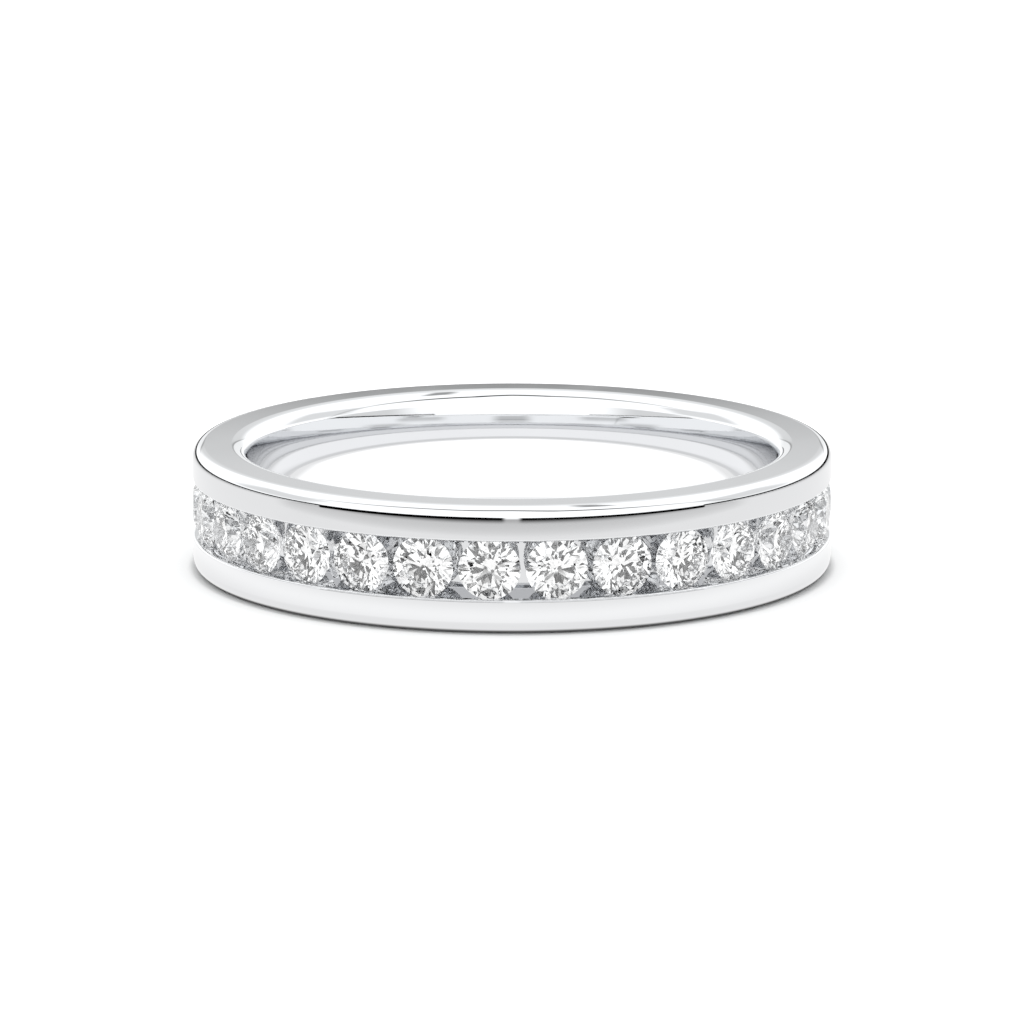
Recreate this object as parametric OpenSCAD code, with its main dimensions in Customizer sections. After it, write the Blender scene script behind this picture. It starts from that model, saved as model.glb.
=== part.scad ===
// Channel set band: a plain polished ring with a row of round brilliants held between two rails.
// The ring lies on its side: +Z is its axis, z = 0 is the surface it rests on, -Y is the front.

/* [Finger hole] */
// Diameter of the finger hole at its narrowest, midway across the band
finger_d = 16.1; // [14:0.1:22]
// Width of the straight stretch at the narrowest place of the rounded inside
land_w = 0.3; // [0.1:0.05:1]
// Radius of the rounded inside, seen in the band's cross-section
comfort_r = 8.75; // [4:0.25:12]

/* [Band] */
// Width of the band, along the finger
band_w = 3.85; // [3.4:0.05:5]
// Metal between the finger hole and the channel's floor
floor_t = 0.64; // [0.3:0.01:1]
// Height of the rails above the stones' tables
rail_rise = 0.015; // [0:0.005:0.1]
// Rounding of the band's outer edges
outer_round = 0.38; // [0.1:0.02:0.5]
// Rounding of the edges of the finger hole
inner_round = 0.5; // [0.1:0.01:0.6]

/* [Channel] */
// How far each rail's lip reaches over the stones' girdles
lip_hold = 0.05; // [0.01:0.005:0.08]
// Rounding of the lips' outer edges
lip_round = 0.08; // [0.03:0.01:0.12]
// How far the ledge under each girdle reaches in below it
ledge_hold = 0.015; // [0.005:0.005:0.02]
// Width of the channel's flat floor
floor_w = 1.2; // [0.8:0.05:1.4]
// Gap between the stones' points and the channel's floor
culet_gap = 0.02; // [0.01:0.01:0.1]
// Clearance round a girdle in its groove
girdle_clear = 0.03; // [0.03:0.005:0.05]

/* [Stones] */
// Diameter of a stone
stone_d = 1.85; // [1.6:0.01:2.2]
// Smallest gap between two neighbours' girdles
stone_gap = 0.1; // [0.05:0.01:0.3]
// Width of a stone's table, as a share of its diameter
table_share = 0.57; // [0.5:0.01:0.66]
// Angle of the large crown facets to the girdle
crown_angle = 34.5; // [30:0.5:38]
// Angle of the large pavilion facets to the girdle
pavilion_angle = 40.6; // [38:0.2:43]
// Thickness of the girdle where it is thickest
girdle_t = 0.05; // [0.04:0.005:0.08]
// Length of the star facets, as a share of the way from table to girdle
star_share = 0.5; // [0.4:0.05:0.65]
// Length of the lower half facets, as a share of the way from girdle to point
lower_share = 0.78; // [0.65:0.01:0.85]
// Turn of the facets about the stone's own axis
facet_turn = 0; // [0:22.5:22.5]
// Angle from the front to the first gap between stones
first_gap_angle = 2; // [-6:0.05:6]

/* [Hidden] */
$fn = 180;
eps = 0.01;
// Main facets round a stone
mains = 8;
// Corners round a girdle: each main facet spans four of its sides
girdle_sides = 4 * mains;

stone_r = stone_d / 2;
table_r = stone_r * table_share;
crown_h = (stone_r - table_r) * tan(crown_angle);
pavilion_h = stone_r * tan(pavilion_angle);
main_step = 360 / mains;
half_step = main_step / 2;
side_step = 360 / girdle_sides;

// Radii from the ring's axis, from the finger out
finger_r = finger_d / 2;
floor_r = finger_r + floor_t;
girdle_low_r = floor_r + culet_gap + pavilion_h;
girdle_mid_r = girdle_low_r + girdle_t / 2;
girdle_top_r = girdle_low_r + girdle_t;
outer_r = girdle_top_r + crown_h + rail_rise;

// Heights across the band
mid_z = band_w / 2;
lip_half = stone_r - lip_hold;
ledge_half = stone_r - ledge_hold;
groove_half = stone_r + girdle_clear;

// The rounded inside is two arcs that meet the straight land, one above it and one below
comfort_x = finger_r + comfort_r;
comfort_z = mid_z - land_w / 2;
inner_drop = comfort_z - inner_round;
inner_x = comfort_x - sqrt(pow(comfort_r - inner_round, 2) - pow(inner_drop, 2));
inner_angle = atan2(-inner_drop, inner_x - comfort_x);

stone_count = floor(180 / atan((stone_r + stone_gap / 2) / girdle_low_r));
stone_pitch = 360 / stone_count;

function stone_name(i) = str("stone_", i < 10 ? "0" : "", i);

// Point at a given angle and radius
function polar(angle, radius) = [radius * cos(angle), radius * sin(angle)];

// Height at [x, y] of the plane through three points
function plane_z(a, b, c, xy) =
    let (n = cross(b - a, c - a))
    a[2] - (n[0] * (xy[0] - a[0]) + n[1] * (xy[1] - a[1])) / n[2];

// Metal to take off a corner, so that a round of radius r about centre is left
// between the directions from_angle and to_angle
module corner_waste(centre, r, from_angle, to_angle) {
    reach = 2 * r;
    middle = (from_angle + to_angle) / 2;
    translate(centre)
        difference() {
            polygon([
                [0, 0],
                polar(from_angle, reach),
                polar(middle, 2 * reach),
                polar(to_angle, reach)
            ]);
            circle(r);
        }
}

// The two halves of a cut across the band, mirrored about its middle
module both_sides() {
    children();
    translate([0, band_w])
        mirror([0, 1])
            children();
}

// Space of the finger inside the band's cross-section
module finger_section() {
    difference() {
        translate([0, -eps])
            square([comfort_x, band_w + 2 * eps]);
        both_sides()
            translate([comfort_x, comfort_z])
                circle(comfort_r);
        translate([finger_r, comfort_z])
            square([comfort_r, land_w]);
    }
}

// Channel between the rails: lip, girdle groove, ledge, sloping wall and flat floor
module channel_section() {
    // Height of the crown above the girdle where the lip's edge stands over it
    lip_rise = lip_hold * tan(crown_angle);
    groove_top_r = girdle_top_r + lip_rise + girdle_clear;
    groove_low_r = girdle_low_r - girdle_clear;
    lower_side = [
        [outer_r + eps, -lip_half],
        [groove_top_r, -lip_half],
        [groove_top_r, -groove_half],
        [groove_low_r, -groove_half],
        [groove_low_r, -ledge_half],
        [floor_r, -floor_w / 2]
    ];
    upper_side = [for (i = [len(lower_side) - 1 : -1 : 0]) [lower_side[i][0], -lower_side[i][1]]];
    translate([0, mid_z])
        polygon(concat(lower_side, upper_side));
}

// Cross-section of the metal: radius along x, height along y
module band_section() {
    difference() {
        square([outer_r, band_w]);
        finger_section();
        channel_section();
        both_sides() {
            corner_waste([outer_r - outer_round, outer_round], outer_round, -90, 0);
            corner_waste([inner_x, inner_round], inner_round, -90, inner_angle);
            corner_waste([outer_r - lip_round, mid_z - lip_half - lip_round], lip_round, 0, 90);
        }
    }
}

module band() {
    color([0.86, 0.87, 0.88])
        rotate_extrude()
            band_section();
}

// Round brilliant about its girdle, with its table up
module brilliant() {
    top_z = girdle_t / 2 + crown_h;
    low_z = -girdle_t / 2;
    table_mid_r = table_r * cos(half_step);
    star_r = table_mid_r + star_share * (stone_r - table_mid_r);
    star_z = top_z - (star_r * cos(half_step) - table_r) * tan(crown_angle);
    tip_r = stone_r * (1 - lower_share);
    tip_z = low_z - (stone_r - tip_r * cos(half_step)) * tan(pavilion_angle);

    function ring_point(angle, radius, z) = concat(polar(angle, radius), [z]);
    // A girdle corner between two facet corners lies where the half facet meets the girdle
    function girdle_point(j, z, apex_r, apex_z) =
        let (
            main = floor(j / 4) * main_step,
            from = j % 4 == 1 ? main : main + half_step,
            apex = ring_point(main + half_step, apex_r, apex_z),
            xy = polar(j * side_step, stone_r)
        )
        j % 2 == 0
            ? concat(xy, [z])
            : concat(xy, [plane_z(
                apex,
                ring_point(from, stone_r, z),
                ring_point(from + half_step, stone_r, z),
                xy
            )]);

    tables = [for (k = [0 : mains - 1]) ring_point(k * main_step, table_r, top_z)];
    stars = [for (k = [0 : mains - 1]) ring_point((k + 0.5) * main_step, star_r, star_z)];
    upper = [for (j = [0 : girdle_sides - 1]) girdle_point(j, girdle_t / 2, star_r, star_z)];
    lower = [for (j = [0 : girdle_sides - 1]) girdle_point(j, low_z, tip_r, tip_z)];
    tips = [for (k = [0 : mains - 1]) ring_point((k + 0.5) * main_step, tip_r, tip_z)];
    culet = [[0, 0, low_z - pavilion_h]];

    function table_at(k) = k % mains;
    function star_at(k) = mains + (k + mains) % mains;
    function upper_at(j) = 2 * mains + j % girdle_sides;
    function lower_at(j) = 2 * mains + girdle_sides + j % girdle_sides;
    function tip_at(k) = 2 * mains + 2 * girdle_sides + (k + mains) % mains;
    culet_at = 3 * mains + 2 * girdle_sides;

    table_face = [for (k = [mains - 1 : -1 : 0]) table_at(k)];
    star_faces = [for (k = [0 : mains - 1]) [table_at(k), table_at(k + 1), star_at(k)]];
    kite_faces = [for (k = [0 : mains - 1]) [table_at(k), star_at(k), upper_at(4 * k), star_at(k - 1)]];
    upper_faces = [for (k = [0 : mains - 1]) for (j = [4 * k, 4 * k + 2])
        [star_at(k), upper_at(j + 2), upper_at(j + 1), upper_at(j)]];
    girdle_faces = [for (j = [0 : girdle_sides - 1])
        [upper_at(j), upper_at(j + 1), lower_at(j + 1), lower_at(j)]];
    lower_faces = [for (k = [0 : mains - 1]) for (j = [4 * k, 4 * k + 2])
        [tip_at(k), lower_at(j), lower_at(j + 1), lower_at(j + 2)]];
    main_faces = [for (k = [0 : mains - 1]) [culet_at, tip_at(k - 1), lower_at(4 * k), tip_at(k)]];

    polyhedron(
        points = concat(tables, stars, upper, lower, tips, culet),
        faces = concat([table_face], star_faces, kite_faces, upper_faces, girdle_faces, lower_faces, main_faces),
        convexity = 2
    );
}

// One stone in its place, counted from the first gap towards the right of the front
module stone(i) {
    angle = -90 + first_gap_angle + (i - 0.5) * stone_pitch;
    color([0.95, 0.96, 0.98])
        rotate([0, 0, angle])
            translate([girdle_mid_r, 0, mid_z])
                rotate([0, 90, 0])
                    rotate([0, 0, facet_turn])
                        brilliant();
}

band();
for (i = [1 : stone_count])
    stone(i);
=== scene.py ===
import enum
import logging
import math
from dataclasses import dataclass, field

import bpy
import numpy as np
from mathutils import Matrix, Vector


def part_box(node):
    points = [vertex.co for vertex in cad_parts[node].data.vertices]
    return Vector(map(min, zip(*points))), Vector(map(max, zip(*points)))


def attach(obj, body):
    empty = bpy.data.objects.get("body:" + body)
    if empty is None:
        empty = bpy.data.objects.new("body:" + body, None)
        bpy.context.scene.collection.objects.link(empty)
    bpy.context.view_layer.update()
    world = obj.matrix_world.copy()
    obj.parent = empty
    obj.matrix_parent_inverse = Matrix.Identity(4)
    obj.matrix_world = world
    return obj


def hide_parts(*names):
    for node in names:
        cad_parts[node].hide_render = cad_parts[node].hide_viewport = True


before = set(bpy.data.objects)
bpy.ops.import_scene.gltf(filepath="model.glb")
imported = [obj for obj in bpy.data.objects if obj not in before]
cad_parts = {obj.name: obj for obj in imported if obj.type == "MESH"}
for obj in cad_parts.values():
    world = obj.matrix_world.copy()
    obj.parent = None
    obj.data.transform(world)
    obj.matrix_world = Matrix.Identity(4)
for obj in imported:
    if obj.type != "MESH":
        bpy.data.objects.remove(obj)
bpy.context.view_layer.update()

LOG = logging.getLogger("channel_set_band")
MM = 0.001
DEGREES = 180 / math.pi
BODY = "root"
WHITE = (1, 1, 1, 1)
# Outer radius of the ring that the studio is set out from, in millimetres
RING_R = 9.84
# Half the side of the studio's floor, in millimetres
STUDIO_HALF = 1500.0

Socket = bpy.types.NodeSocket


class Rays(enum.Enum):
    """Which rays meet a stage piece."""

    DIRECT = "all but the mirrored and refracted ones"
    MIRRORED = "the mirrored and refracted ones alone"


def show_to(piece: bpy.types.Object, rays: Rays) -> None:
    """Limits a stage piece to some kinds of ray.

    Args:
        piece: The stage piece.
        rays: The kinds of ray that meet it.
    """
    mirrored = rays is Rays.MIRRORED
    piece.visible_glossy = mirrored
    piece.visible_transmission = mirrored
    piece.visible_camera = not mirrored
    piece.visible_diffuse = not mirrored
    piece.visible_shadow = not mirrored


class Graph:
    """A small helper that lays out a shader's nodes."""

    def __init__(self, tree: bpy.types.NodeTree) -> None:
        """Empties the tree.

        Args:
            tree: The node tree to fill.
        """
        self.tree = tree
        tree.nodes.clear()

    def node(self, kind: str, inputs: dict | None = None, **settings: object) -> bpy.types.Node:
        """Adds a node.

        Args:
            kind: The node's type name.
            inputs: Values or sockets for its inputs, by name or number.
            settings: The node's own properties.

        Returns:
            The new node.
        """
        node = self.tree.nodes.new(kind)
        for name, value in settings.items():
            setattr(node, name, value)
        for key, value in (inputs or {}).items():
            if isinstance(value, Socket):
                self.tree.links.new(value, node.inputs[key])
            else:
                node.inputs[key].default_value = value
        return node

    def math(self, operation: str, *values: object) -> Socket:
        """Adds a Math node.

        Args:
            operation: The operation's name.
            values: Numbers or sockets to work on.

        Returns:
            The result's socket.
        """
        return self.node("ShaderNodeMath", dict(enumerate(values)), operation=operation).outputs[0]

    def step(self, value: Socket, low: float, high: float, start: float | Socket = 0.0, end: float = 1.0) -> Socket:
        """Eases from one number to another as a value goes from low to high.

        Args:
            value: The value's socket.
            low: Where the change starts.
            high: Where it ends.
            start: The number up to low.
            end: The number past high.

        Returns:
            The result's socket.
        """
        inputs = {0: value, 1: low, 2: high, 3: start, 4: end}
        return self.node("ShaderNodeMapRange", inputs, interpolation_type="SMOOTHSTEP").outputs[0]

    def fade(self, value: Socket, start: float, rate: float) -> Socket:
        """Rises from 0 at a start towards 1, fast at first and then ever slower.

        Args:
            value: The value's socket.
            start: Where it begins to rise.
            rate: How far past the start it has covered about two thirds of its rise.

        Returns:
            The result's socket.
        """
        past = self.math("MAXIMUM", self.math("SUBTRACT", value, start), 0.0)
        return self.math("SUBTRACT", 1.0, self.math("EXPONENT", self.math("DIVIDE", past, -rate)))

    def mix(self, share: Socket, a: Socket, b: Socket) -> Socket:
        """Blends two numbers.

        Args:
            share: How much of the second one there is.
            a: The first number.
            b: The second number.

        Returns:
            The result's socket.
        """
        return self.node("ShaderNodeMix", {0: share, 2: a, 3: b}, data_type="FLOAT").outputs[0]

    def mix_colour(self, share: Socket, a: tuple, b: tuple) -> Socket:
        """Blends two colours.

        Args:
            share: How much of the second one there is.
            a: The first colour.
            b: The second colour.

        Returns:
            The result's socket.
        """
        return self.node("ShaderNodeMix", {0: share, 6: a, 7: b}, data_type="RGBA").outputs[2]

    def bump(self, value: Socket, low: float, high: float, soft: float) -> Socket:
        """Makes a number that is 1 between two limits and eases to 0 beyond them.

        Args:
            value: The value's socket.
            low: The lower limit.
            high: The upper limit.
            soft: How far past a limit the number reaches 0.

        Returns:
            The result's socket.
        """
        rise = self.step(value, low - soft, low)
        return self.math("MULTIPLY", rise, self.step(value, high, high + soft, 1.0, 0.0))

    def curve(self, value: Socket, points: tuple) -> Socket:
        """Makes a number that follows straight lines between given points.

        Args:
            value: The value's socket.
            points: Pairs of value and result, in rising order.

        Returns:
            The result's socket.
        """
        first, last = points[0][0], points[-1][0]
        results = [result for _, result in points]
        low, span = min(results), (max(results) - min(results)) or 1.0
        share = self.node("ShaderNodeMapRange", {0: value, 1: first, 2: last}).outputs[0]
        ramp = self.node("ShaderNodeValToRGB", {0: share})
        stops = ramp.color_ramp.elements
        while len(stops) < len(points):
            stops.new(0.5)
        for stop, (at, result) in zip(stops, points):
            grey = (result - low) / span
            stop.position = (at - first) / (last - first)
            stop.color = (grey, grey, grey, 1.0)
        return self.math("ADD", self.math("MULTIPLY", ramp.outputs[0], span), low)

    def place(self) -> tuple:
        """Finds where a point of the surroundings is.

        Returns:
            Sockets for its distance from the ring's axis in millimetres, its bearing in degrees and its
            height in millimetres.
        """
        split = self.node("ShaderNodeSeparateXYZ", {0: self.node("ShaderNodeTexCoord").outputs["Object"]})
        right, back, up = (self.math("MULTIPLY", part, 1 / MM) for part in split.outputs)
        square = self.math("ADD", self.math("MULTIPLY", right, right), self.math("MULTIPLY", back, back))
        bearing = self.math("ARCTAN2", right, self.math("MULTIPLY", back, -1.0))
        return self.math("SQRT", square), self.math("MULTIPLY", bearing, DEGREES), up

    def glow(self, strength: Socket) -> Socket:
        """Makes a white light of a given strength."""
        return self.node("ShaderNodeEmission", {"Color": WHITE, "Strength": strength}).outputs[0]

    def finish(self, surface: Socket) -> None:
        """Ends the graph in a material's surface."""
        self.node("ShaderNodeOutputMaterial", {"Surface": surface})


def new_material(name: str) -> tuple:
    """Starts a material.

    Args:
        name: The material's name.

    Returns:
        The material and its empty graph.
    """
    material = bpy.data.materials.new(name)
    material.use_nodes = True
    return material, Graph(material.node_tree)


def new_object(name: str, points: list, faces: list) -> bpy.types.Object:
    """Makes a mesh object and adds it to the scene.

    Args:
        name: The object's name.
        points: Its points, in metres.
        faces: Its faces, as numbers of points.

    Returns:
        The new object.
    """
    mesh = bpy.data.meshes.new(name)
    mesh.from_pydata(points, [], faces)
    piece = bpy.data.objects.new(name, mesh)
    bpy.context.scene.collection.objects.link(piece)
    return piece


def new_ground(name: str) -> bpy.types.Object:
    """Lays a flat square on the surface that the ring rests on.

    Args:
        name: The object's name.

    Returns:
        The square.
    """
    h = STUDIO_HALF * MM
    return new_object(name, [(-h, -h, 0), (h, -h, 0), (h, h, 0), (-h, h, 0)], [(0, 1, 2, 3)])


@dataclass(frozen=True)
class PolishedMetal:
    """Rhodium-bright white metal, mirror polished, with the faint haze and hairlines of real polish."""

    name: str = "polished_white_metal"
    colour: tuple = (0.775, 0.78, 0.79, 1.0)
    worn_colour: tuple = (0.755, 0.76, 0.77, 1.0)
    roughness: tuple = (0.015, 0.045)
    haze_scale: float = 260.0
    haze_detail: float = 3.0
    haze_range: tuple = (0.35, 0.7)
    hairline_scale: float = 9000.0
    hairline_detail: float = 2.0
    hairline_strength: float = 0.004
    hairline_depth: float = 0.01

    def material(self) -> bpy.types.Material:
        """Makes the metal.

        Returns:
            The finished material.
        """
        material, g = new_material(self.name)
        place = g.node("ShaderNodeTexCoord").outputs["Object"]
        haze = g.node(
            "ShaderNodeTexNoise", {"Vector": place, "Scale": self.haze_scale, "Detail": self.haze_detail}
        ).outputs[0]
        hairlines = g.node(
            "ShaderNodeTexNoise", {"Vector": place, "Scale": self.hairline_scale, "Detail": self.hairline_detail}
        ).outputs[0]
        bump = g.node(
            "ShaderNodeBump",
            {"Height": hairlines, "Strength": self.hairline_strength, "Distance": self.hairline_depth * MM},
        )
        shader = g.node(
            "ShaderNodeBsdfPrincipled",
            {
                "Base Color": g.mix_colour(haze, self.colour, self.worn_colour),
                "Metallic": 1.0,
                "Roughness": g.step(haze, *self.haze_range, *self.roughness),
                "Normal": bump.outputs[0],
            },
        )
        g.finish(shader.outputs[0])
        return material


@dataclass(frozen=True)
class ClearStone:
    """Colourless diamond with a trace of warmth and coolness from place to place."""

    name: str = "clear_diamond"
    ior: float = 2.417
    cool: tuple = (0.985, 0.992, 1.0, 1.0)
    warm: tuple = (1.0, 0.995, 0.985, 1.0)
    tint_scale: float = 900.0
    tint_detail: float = 1.0

    def material(self) -> bpy.types.Material:
        """Makes the diamond.

        Returns:
            The finished material.
        """
        material, g = new_material(self.name)
        place = g.node("ShaderNodeTexCoord").outputs["Object"]
        tint = g.node(
            "ShaderNodeTexNoise", {"Vector": place, "Scale": self.tint_scale, "Detail": self.tint_detail}
        ).outputs[0]
        shader = g.node(
            "ShaderNodeBsdfPrincipled",
            {
                "Base Color": g.mix_colour(tint, self.cool, self.warm),
                "Roughness": 0.0,
                "IOR": self.ior,
                "Transmission Weight": 1.0,
            },
        )
        g.finish(shader.outputs[0])
        return material


@dataclass
class MetalBand:
    """The band, turned on the lathe from its cross-section. All sizes are in millimetres."""

    finish: PolishedMetal
    name: str = "polished_band"
    land_w: float = 0.3
    comfort_r: float = 8.75
    finger_r: float = 8.05
    floor_r: float = 8.69
    groove_low_r: float = 9.4728
    groove_top_r: float = 9.6172
    outer_round: float = 0.38
    inner_round: float = 0.5
    lip_half: float = 0.875
    ledge_half: float = 0.91
    groove_half: float = 0.955
    floor_half: float = 0.6
    lip_round: float = 0.08
    turns: int = 640
    arc_sides: int = 16
    width: float = field(init=False)
    outer_r: float = field(init=False)

    def __post_init__(self) -> None:
        """Takes the band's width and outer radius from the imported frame."""
        low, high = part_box("band")
        self.width = (high.z - low.z) / MM
        self.outer_r = high.x / MM

    def arc(self, centre: tuple, radius: float, start: float, end: float) -> list:
        """Makes a round stretch of the cross-section.

        Args:
            centre: Radius and height of the arc's centre.
            radius: The arc's own radius.
            start: Angle where it starts, in degrees.
            end: Angle where it ends.

        Returns:
            Stretches of (start point, end point, start normal, end normal).
        """
        angles = np.radians(np.linspace(start, end, self.arc_sides + 1))
        normals = np.stack([np.cos(angles), np.sin(angles)], axis=1)
        points = np.array(centre) + radius * normals
        return [(points[i], points[i + 1], normals[i], normals[i + 1]) for i in range(self.arc_sides)]

    @staticmethod
    def straight(points: list) -> list:
        """Makes straight stretches through a few points.

        Args:
            points: Radius and height of each corner, with the metal on the left.

        Returns:
            Stretches as arc() gives them.
        """
        stretches = []
        for a, b in zip(points[:-1], points[1:]):
            a, b = np.array(a), np.array(b)
            along = (b - a) / np.linalg.norm(b - a)
            normal = np.array([along[1], -along[0]])
            stretches.append((a, b, normal, normal))
        return stretches

    def section(self) -> list:
        """Works out the whole cross-section, lower half first and then its mirror image.

        Returns:
            The stretches in order, with the metal on their left.
        """
        middle = self.width / 2
        comfort = (self.finger_r + self.comfort_r, middle - self.land_w / 2)
        drop = comfort[1] - self.inner_round
        inner_x = comfort[0] - math.sqrt((self.comfort_r - self.inner_round) ** 2 - drop**2)
        turn = 180 + math.degrees(math.atan2(drop, comfort[0] - inner_x))
        lip_z = middle - self.lip_half
        outer, r = self.outer_r, self.outer_round
        lower = self.straight([(self.finger_r, middle), (self.finger_r, comfort[1])])
        lower += self.arc(comfort, self.comfort_r, 180, turn)
        lower += self.arc((inner_x, self.inner_round), self.inner_round, turn, 270)
        lower += self.straight([(inner_x, 0), (outer - r, 0)])
        lower += self.arc((outer - r, r), r, 270, 360)
        lower += self.straight([(outer, r), (outer, lip_z - self.lip_round)])
        lower += self.arc((outer - self.lip_round, lip_z - self.lip_round), self.lip_round, 0, 90)
        lower += self.straight(
            [
                (outer - self.lip_round, lip_z),
                (self.groove_top_r, lip_z),
                (self.groove_top_r, middle - self.groove_half),
                (self.groove_low_r, middle - self.groove_half),
                (self.groove_low_r, middle - self.ledge_half),
                (self.floor_r, middle - self.floor_half),
                (self.floor_r, middle),
            ]
        )
        fold = np.array([0.0, self.width])
        flip = np.array([1.0, -1.0])
        upper = [(fold + b * flip, fold + a * flip, nb * flip, na * flip) for a, b, na, nb in reversed(lower)]
        return lower + upper

    def build(self) -> bpy.types.Object:
        """Turns the cross-section about the ring's axis, with exact normals.

        Returns:
            The band's object.
        """
        section = self.section()
        starts = np.array([s[0] for s in section]) * MM
        count = len(section)
        angles = np.linspace(0, 2 * math.pi, self.turns, endpoint=False)
        c, s = np.cos(angles), np.sin(angles)
        radii, heights = starts[:, 0], np.tile(starts[:, 1], (self.turns, 1))
        places = np.stack([np.outer(c, radii), np.outer(s, radii), heights], axis=2)
        turn, side = np.meshgrid(np.arange(self.turns), np.arange(count), indexing="ij")
        next_turn, next_side = (turn + 1) % self.turns, (side + 1) % count
        corners = [(turn, side), (next_turn, side), (next_turn, next_side), (turn, next_side)]
        faces = np.stack([(t * count + k).ravel() for t, k in corners], axis=1)
        first = np.array([x[2] for x in section])
        last = np.array([x[3] for x in section])
        normals = []
        for t, k in ((turn, first), (next_turn, first), (next_turn, last), (turn, last)):
            across = k[side]
            normals.append(np.stack([c[t] * across[..., 0], s[t] * across[..., 0], across[..., 1]], axis=-1))
        normals = np.stack(normals, axis=2).reshape(-1, 3)
        band = new_object(self.name, places.reshape(-1, 3).tolist(), faces.tolist())
        band.data.update()
        band.data.shade_smooth()
        band.data.normals_split_custom_set(normals.tolist())
        return band

    def dress(self, band: bpy.types.Object) -> None:
        """Gives the band its finish and its place in the frame.

        Args:
            band: The band's object.
        """
        band.data.materials.append(self.finish.material())
        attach(band, BODY)
        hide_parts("band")


@dataclass
class StoneRow:
    """The round brilliants in the channel, kept as the frame has them."""

    finish: ClearStone
    prefix: str = "stone_"

    def dress(self) -> int:
        """Gives every stone its finish.

        Returns:
            How many stones there are.
        """
        material = self.finish.material()
        stones = [piece for name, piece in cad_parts.items() if name.startswith(self.prefix)]
        for stone in stones:
            stone.data.materials.clear()
            stone.data.materials.append(material)
        return len(stones)


@dataclass
class StudioFloor:
    """The pale floor under the ring and everything behind it."""

    name: str = "studio_floor"
    colour: tuple = (0.86, 0.86, 0.86, 1.0)
    # Millimetres out from the ring's side, and how much glow the floor adds there. The glow is painted light, and
    # it stops under and just beside the ring, which paints a tight contact shadow
    light: tuple = ((-2.2, 0.34), (-1.6, 0.34), (-1.2, 0.0), (0.0, 0.0), (0.2, 0.3), (1.5, 0.34))

    def build(self) -> None:
        """Lays the floor just under the ring, for all but mirrored and refracted rays."""
        floor = new_ground(self.name)
        material, g = new_material(self.name)
        paper = g.node("ShaderNodeBsdfDiffuse", {"Color": self.colour})
        distance, _, _ = g.place()
        # Painted glow by distance from the ring's side; where it stops, under and just beside the ring, it paints a
        # tight contact shadow
        glow = g.glow(g.curve(g.math("SUBTRACT", distance, RING_R), self.light))
        g.finish(g.node("ShaderNodeAddShader", {0: paper.outputs[0], 1: glow}).outputs[0])
        floor.data.materials.append(material)
        show_to(floor, Rays.DIRECT)


@dataclass(frozen=True)
class DimPatch:
    """A dimmer patch of the tent on either side, set by bearings and heights in degrees, with soft edges."""

    bearings: tuple
    bearing_soft: float
    heights: tuple
    height_soft: float
    depth: float

    def light(self, g: Graph, turned: Socket, height: Socket) -> Socket:
        """Works out how much light the patch lets through.

        Args:
            g: The world's graph.
            turned: The direction's bearing, without its sign.
            height: Its height.

        Returns:
            A socket that is 1 away from the patch and lowest in its middle.
        """
        across = g.bump(turned, *self.bearings, self.bearing_soft)
        upright = g.bump(height, *self.heights, self.height_soft)
        return g.math("SUBTRACT", 1.0, g.math("MULTIPLY", g.math("MULTIPLY", across, upright), self.depth))


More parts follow.
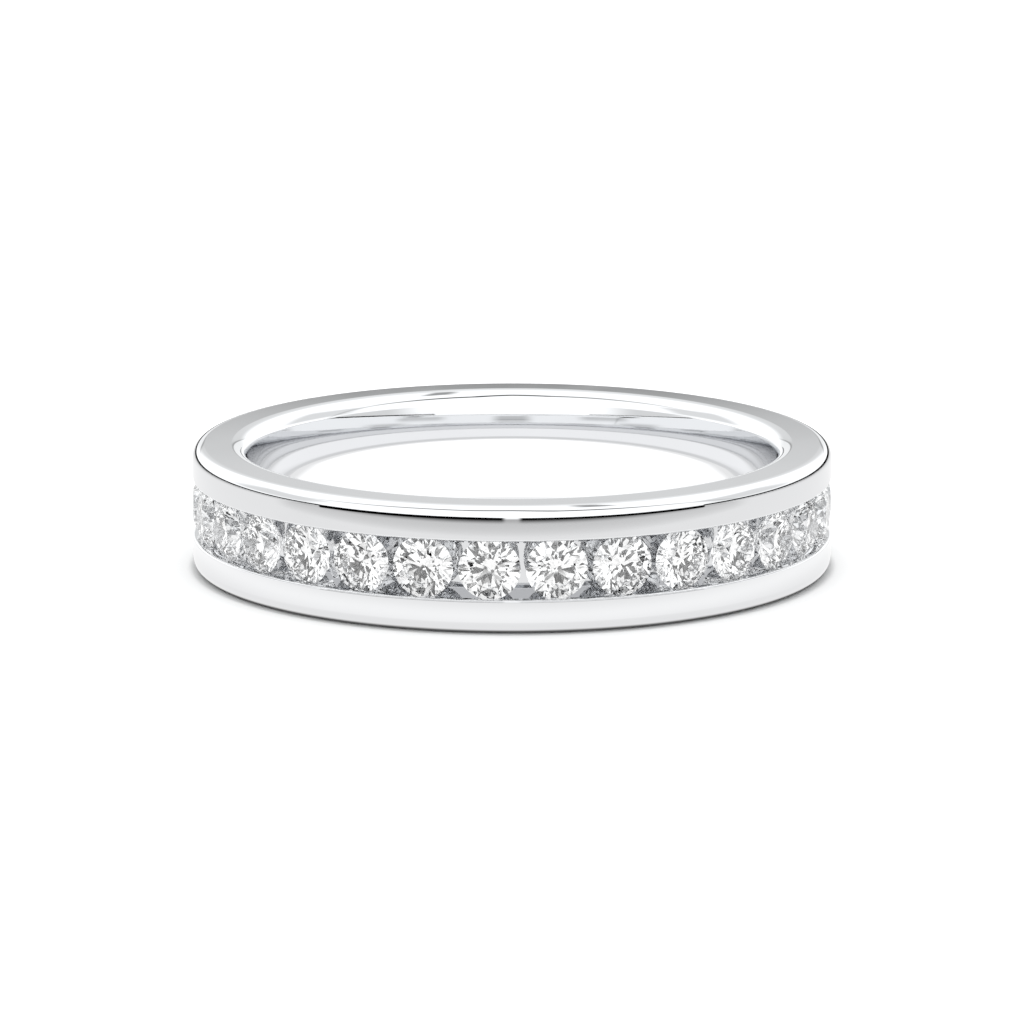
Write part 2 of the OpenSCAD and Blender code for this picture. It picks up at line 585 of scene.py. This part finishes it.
@dataclass
class LightTent:
    """The soft lights that the ring mirrors, as a sky that depends on direction alone.

    Height is degrees over the horizon, and bearing is degrees from the front, positive to the right.
    Overhead, u is how far right and v how far front a direction goes for each unit that it goes up.
    """

    name: str = "light_tent"
    white: float = 1.44
    colour: tuple = (0.985, 0.995, 1.0, 1.0)
    # Heights between which the front goes from black to lit
    front_low: tuple = (-4.0, 0.0)
    # Bearings between which one part of the tent gives way to the next
    front_to_side: tuple = (70.0, 84.0)
    side_to_back: tuple = (158.0, 172.0)
    side_patch: DimPatch = DimPatch((78.0, 112.0), 14.0, (16.0, 34.0), 8.0, 0.35)
    low_patch: DimPatch = DimPatch((58.0, 72.0), 22.0, (1.0, 5.0), 6.0, 0.4)
    # The back falls to a dark step, rises out of it at once, and then rises slowly to the top
    back_step: tuple = ((9.9, 0.72), (10.6, 0.3), (10.9, 0.24))
    back_rise_start: float = 10.91
    back_rise_rate: float = 0.31
    back_rise: float = 0.325
    back_high: tuple = ((12.2, 0.0), (18.0, 0.044), (42.0, 0.194), (60.0, 0.435))
    # Where the dark gap between the lights overhead runs, as pairs of u and v
    gap_line: tuple = (
        (-2.0, -0.3),
        (-1.0, 0.05),
        (-0.62, 0.21),
        (-0.4, 0.26),
        (-0.2, 0.35),
        (0.0, 0.27),
        (0.22, 0.45),
        (0.45, 0.43),
        (0.7, 0.4),
        (0.95, 0.33),
        (1.6, 0.3),
    )
    gap_half: float = 0.04
    gap_soft: float = 0.09
    # Values of u between which the gap darkens and then lightens again, and how dark it stays
    gap_in: tuple = (-1.7, 0.2)
    gap_out: tuple = (0.3, 1.4)
    gap_rest: float = 0.25
    # The dark wedge behind the gap: its middle and half width by v, its soft edge, and its ends
    wedge_line: tuple = ((-0.9, 0.1), (-0.5, 0.15), (-0.15, 0.25))
    wedge_half: tuple = ((-0.9, 0.02), (-0.5, 0.05), (-0.15, 0.09))
    wedge_edge: tuple = (0.3, 1.0)
    wedge_back: tuple = (-0.95, -0.5)
    wedge_front: tuple = (-0.2, -0.05)
    wedge_depth: float = 0.7
    lowest_up: float = 0.05

    def build(self) -> None:
        """Fills the world with the tent's light."""
        world = bpy.data.worlds.new(self.name)
        bpy.context.scene.world = world
        world.use_nodes = True
        g = Graph(world.node_tree)
        direction = g.node("ShaderNodeTexCoord").outputs["Generated"]
        right, back, up = g.node("ShaderNodeSeparateXYZ", {0: direction}).outputs
        front = g.math("MULTIPLY", back, -1.0)
        height = g.math("MULTIPLY", g.math("ARCSINE", up), DEGREES)
        turned = g.math("ABSOLUTE", g.math("MULTIPLY", g.math("ARCTAN2", right, front), DEGREES))

        front_light = g.step(height, *self.front_low)
        side_light = self.side_patch.light(g, turned, height)
        light = g.mix(g.step(turned, *self.front_to_side), front_light, side_light)
        light = g.math("MULTIPLY", light, self.low_patch.light(g, turned, height))
        back_light = g.math("MINIMUM", side_light, self.back_light(g, height))
        light = g.mix(g.step(turned, *self.side_to_back), light, back_light)
        gaps = self.overhead_gaps(g, right, front, up)
        light = g.math("MULTIPLY", light, g.math("SUBTRACT", 1.0, gaps))
        strength = g.math("MULTIPLY", light, self.white)
        tent = g.node("ShaderNodeBackground", {"Color": self.colour, "Strength": strength})
        g.node("ShaderNodeOutputWorld", {"Surface": tent.outputs[0]})

    def back_light(self, g: Graph, height: Socket) -> Socket:
        """Works out the light at the back, with its dark step low down.

        Args:
            g: The world's graph.
            height: The direction's height.

        Returns:
            The light's socket.
        """
        rise = g.math("MULTIPLY", g.fade(height, self.back_rise_start, self.back_rise_rate), self.back_rise)
        low = g.math("ADD", g.curve(height, self.back_step), rise)
        return g.math("ADD", low, g.curve(height, self.back_high))

    def overhead_gaps(self, g: Graph, right: Socket, front: Socket, up: Socket) -> Socket:
        """Works out how dark the gaps between the lights overhead are.

        Args:
            g: The world's graph.
            right: The direction's part to the right.
            front: Its part towards the front.
            up: Its part upwards.

        Returns:
            A socket that is 1 in the middle of a gap and 0 well away from it.
        """
        level = g.math("MAXIMUM", up, self.lowest_up)
        u = g.math("DIVIDE", right, level)
        v = g.math("DIVIDE", front, level)
        off = g.math("SUBTRACT", v, g.curve(u, self.gap_line))
        depth = g.math("MULTIPLY", g.step(u, *self.gap_in), g.step(u, *self.gap_out, 1.0, self.gap_rest))
        gap = g.math("MULTIPLY", g.bump(off, -self.gap_half, self.gap_half, self.gap_soft), depth)
        across = g.math("ABSOLUTE", g.math("SUBTRACT", u, g.curve(v, self.wedge_line)))
        share = g.math("DIVIDE", across, g.curve(v, self.wedge_half))
        stretch = g.math("MULTIPLY", g.step(v, *self.wedge_back), g.step(v, *self.wedge_front, 1.0, 0.0))
        wedge = g.math("MULTIPLY", g.step(share, *self.wedge_edge, 1.0, 0.0), stretch)
        return g.math("MAXIMUM", gap, g.math("MULTIPLY", wedge, self.wedge_depth))


@dataclass(frozen=True)
class DarkStrip:
    """An upright dark strip that curves round the ring, alike on both sides of the front.

    Its ends and its lower edge are soft, and it may have a narrow lit slit in the middle of the front.
    Sizes are in millimetres and bearings in degrees. Without a slit width it has no slit.
    """

    name: str
    radius: float
    bearings: tuple
    # Height of its top at the left and at the right
    tops: tuple
    # Heights between which it goes from clear to solid
    edge: tuple
    slit: float = -1.0
    slit_heights: tuple = (0.0, 1.0)
    slit_light: tuple = (0.0, 0.0)
    slit_soft: tuple = (-0.9, 0.4)
    end_soft: float = 0.6
    top_change: tuple = (-10.0, 4.0)
    spare: float = 0.1
    turns: int = 180

    def build(self) -> bpy.types.Object:
        """Builds the strip.

        Returns:
            The strip's object.
        """
        n = self.turns
        angles = np.linspace(0, 2 * math.pi, n, endpoint=False)
        circle = np.stack([np.cos(angles), np.sin(angles)], axis=1) * self.radius * MM
        heights = (self.edge[0], max(self.tops) + self.spare)
        points = [(x, y, z * MM) for z in heights for x, y in circle]
        faces = [(i, (i + 1) % n, n + (i + 1) % n, n + i) for i in range(n)]
        strip = new_object(self.name, points, faces)
        strip.data.materials.append(self.material())
        return strip

    def material(self) -> bpy.types.Material:
        """Makes the strip's black and its lit slit, clear past its ends and edges.

        Returns:
            The finished material.
        """
        material, g = new_material(self.name)
        _, bearing, up = g.place()
        turned = g.math("ABSOLUTE", bearing)
        start, end = self.bearings
        top = g.step(bearing, *self.top_change, *self.tops)
        ends = g.step(turned, end - self.end_soft, end, 1.0, 0.0)
        if start:
            ends = g.math("MULTIPLY", ends, g.step(turned, start - self.end_soft, start))
        within = g.math("MULTIPLY", g.math("LESS_THAN", up, top), ends)
        solid = g.math("MULTIPLY", within, g.step(up, *self.edge))
        slit = g.step(turned, *(self.slit + soft for soft in self.slit_soft), 1.0, 0.0)
        glow = g.glow(g.math("MULTIPLY", slit, g.step(up, *self.slit_heights, *self.slit_light)))
        clear = g.node("ShaderNodeBsdfTransparent").outputs[0]
        g.finish(g.node("ShaderNodeMixShader", {0: solid, 1: clear, 2: glow}).outputs[0])
        return material


@dataclass
class NearSurroundings:
    """What the ring mirrors close by: a glowing paper that it stands on, with light and shade painted into its
    glow, and the dark strips round it.

    Only mirrored and refracted rays meet it. Sizes are in millimetres, counted out from the ring's side
    unless they are for the hole, and bearings are in degrees.
    """

    paper: str = "painted_light_paper"
    # Painted shade where the ring meets the paper: a contact shadow painted into the glow
    painted_contact_shadow: tuple = (-0.22, -0.05)
    painted_contact_levels: tuple = (0.1, 1.0)
    # A painted band of light round the ring
    swell_at: float = 2.4
    swell_soft: float = 2.4
    painted_swell: float = 0.17
    # Painted shade: the front darkens past this distance, fast at first
    fall_start: float = 13.6
    fall_rate: float = 1.05
    painted_front_shade: float = 0.33
    # What far paper at the sides and the back adds or takes, by distance: a faint painted light near 10 and painted
    # shade that darkens it far out
    painted_far_light_and_shade: tuple = ((4.3, 0.0), (10.0, 0.02), (15.0, 0.0), (80.0, -0.3), (300.0, -0.9))
    front_to_side: tuple = (69.0, 78.0)
    # The paper inside the hole, by distance from the ring's axis, and where the outside takes over; inside, painted
    # light that dims towards the ring's inner wall
    hole: tuple = (7.2, 8.2)
    painted_hole_light: tuple = (1.44, 1.04)
    under_ring: tuple = (8.4, 9.6)
    strips: tuple = (
        DarkStrip(
            name="near_dark_strip",
            radius=12.84,
            bearings=(0.0, 45.2),
            tops=(4.0, 3.8),
            edge=(2.68, 2.86),
            slit=1.96,
            slit_heights=(2.6, 4.0),
            slit_light=(0.45, 1.44),
        ),
        DarkStrip(
            name="side_dark_strip",
            radius=12.9,
            bearings=(45.2, 150.0),
            tops=(4.12, 4.2),
            edge=(3.56, 3.68),
        ),
        DarkStrip(
            name="far_dark_strip",
            radius=26.2,
            bearings=(0.0, 59.2),
            tops=(3.8, 3.4),
            edge=(0.0, 0.01),
            slit=2.6,
            slit_heights=(1.6, 3.9),
            slit_light=(0.46, 1.2),
        ),
    )

    def build(self) -> None:
        """Builds the paper and the strips, and hides them from the camera."""
        paper = new_ground(self.paper)
        paper.data.materials.append(self.paper_material())
        for piece in [paper] + [strip.build() for strip in self.strips]:
            show_to(piece, Rays.MIRRORED)

    def paper_material(self) -> bpy.types.Material:
        """Makes the glow of the paper, with its painted light and shade.

        Returns:
            The finished material.
        """
        material, g = new_material(self.paper)
        distance, bearing, _ = g.place()
        turned = g.math("ABSOLUTE", bearing)
        away = g.math("SUBTRACT", distance, RING_R)
        # Painted light: a brighter band of glow round the ring
        painted_swell = g.math("MULTIPLY", g.bump(away, self.swell_at, self.swell_at, self.swell_soft), self.painted_swell)
        # Painted contact shadow where the ring stands, plus the painted band of light round it
        near = g.math("ADD", g.step(away, *self.painted_contact_shadow, *self.painted_contact_levels), painted_swell)
        # Painted shade that darkens the front paper further out
        painted_front_shade = g.math("MULTIPLY", g.fade(away, self.fall_start, self.fall_rate), self.painted_front_shade)
        front = g.math("SUBTRACT", near, painted_front_shade)
        # Painted light and shade of the far paper at the sides and the back
        side = g.math("ADD", near, g.curve(away, self.painted_far_light_and_shade))
        outside = g.mix(g.step(turned, *self.front_to_side), front, side)
        # Painted light inside the hole, dimming towards the ring's inner wall
        inside = g.step(distance, *self.hole, *self.painted_hole_light)
        g.finish(g.glow(g.mix(g.step(distance, *self.under_ring), inside, outside)))
        return material


@dataclass
class ProductCamera:
    """The camera, at the photo's viewing angle. Its distance was chosen, because the photo doesn't settle it."""

    name: str = "product_camera"
    # Its place, in millimetres
    place: tuple = (0.0, -200.0, 44.096)
    # Its tilt from straight down, in degrees
    tilt: float = 78.0106
    lens: float = 232.71
    sensor: float = 36.0
    # The nearest and the farthest that it sees, in metres
    reach: tuple = (0.005, 20.0)

    def build(self) -> None:
        """Adds the camera and makes it the scene's own."""
        data = bpy.data.cameras.new(self.name)
        data.lens = self.lens
        data.sensor_width = self.sensor
        data.clip_start, data.clip_end = self.reach
        camera = bpy.data.objects.new(self.name, data)
        camera.location = [v * MM for v in self.place]
        camera.rotation_euler = (math.radians(self.tilt), 0.0, 0.0)
        bpy.context.scene.collection.objects.link(camera)
        bpy.context.scene.camera = camera


def set_light_paths() -> None:
    """Lets light bounce often enough inside the stones, and shows plain white as white."""
    scene = bpy.context.scene
    scene.view_settings.view_transform = "Standard"
    scene.cycles.max_bounces = 48
    scene.cycles.transmission_bounces = 40
    scene.cycles.glossy_bounces = 24
    scene.cycles.diffuse_bounces = 3
    scene.cycles.caustics_reflective = False
    scene.cycles.caustics_refractive = False


def main() -> None:
    """Builds the ring's pieces and its studio in order."""
    logging.basicConfig(level=logging.INFO, format="%(message)s")
    for part in (ProductCamera(), StudioFloor(), LightTent(), NearSurroundings()):
        part.build()
        LOG.info("%s built", type(part).__name__)
    set_light_paths()
    band = MetalBand(PolishedMetal())
    band.dress(band.build())
    LOG.info("band turned and polished")
    count = StoneRow(ClearStone()).dress()
    LOG.info("%d stones dressed", count)


if __name__ == "__main__":
    main()
